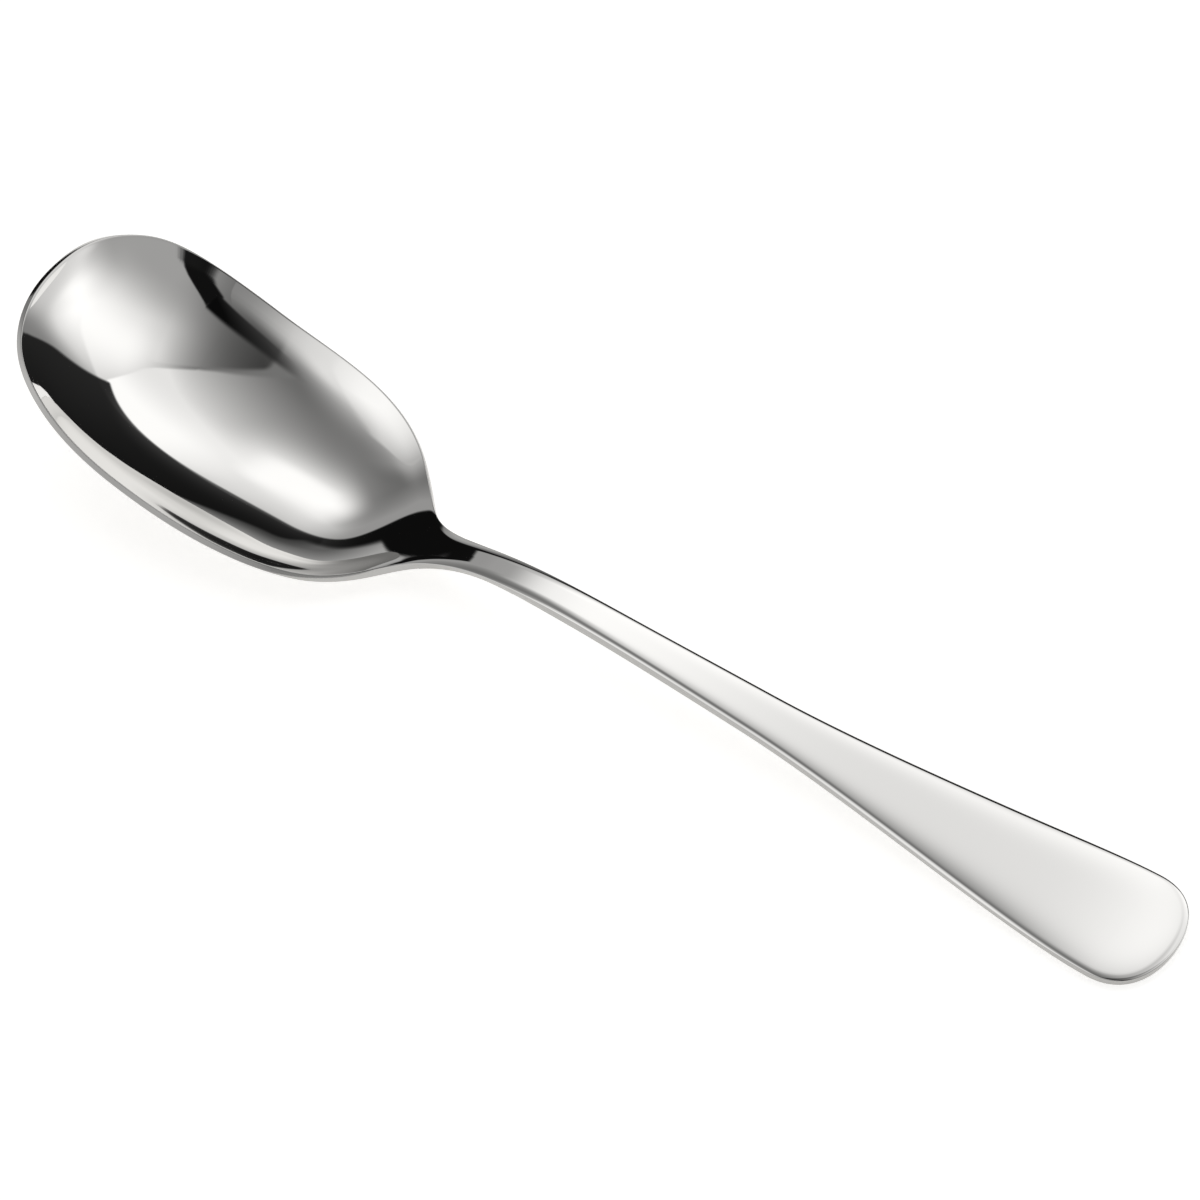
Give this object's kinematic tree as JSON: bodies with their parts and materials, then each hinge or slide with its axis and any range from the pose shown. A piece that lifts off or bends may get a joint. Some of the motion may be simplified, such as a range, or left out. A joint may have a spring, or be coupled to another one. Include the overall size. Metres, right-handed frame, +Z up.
{
  "type": "serving spoon",
  "caption": "One-piece polished steel serving spoon with a broad squared bowl, slim neck and a gently arched handle flaring to a rounded end.",
  "frame": {"origin": "middle of the spoon's length and width, on the table it rests on", "axes": "+X along the length from the bowl to the end of the handle, +Y across, +Z up out of the bowl"},
  "size_m": [0.241, 0.052, 0.0323],
  "materials": {
    "polished_steel": "mirror-polished stainless steel"
  },
  "bodies": {
    "root": {"spoon": "polished_steel"}
  },
  "joints": []
}
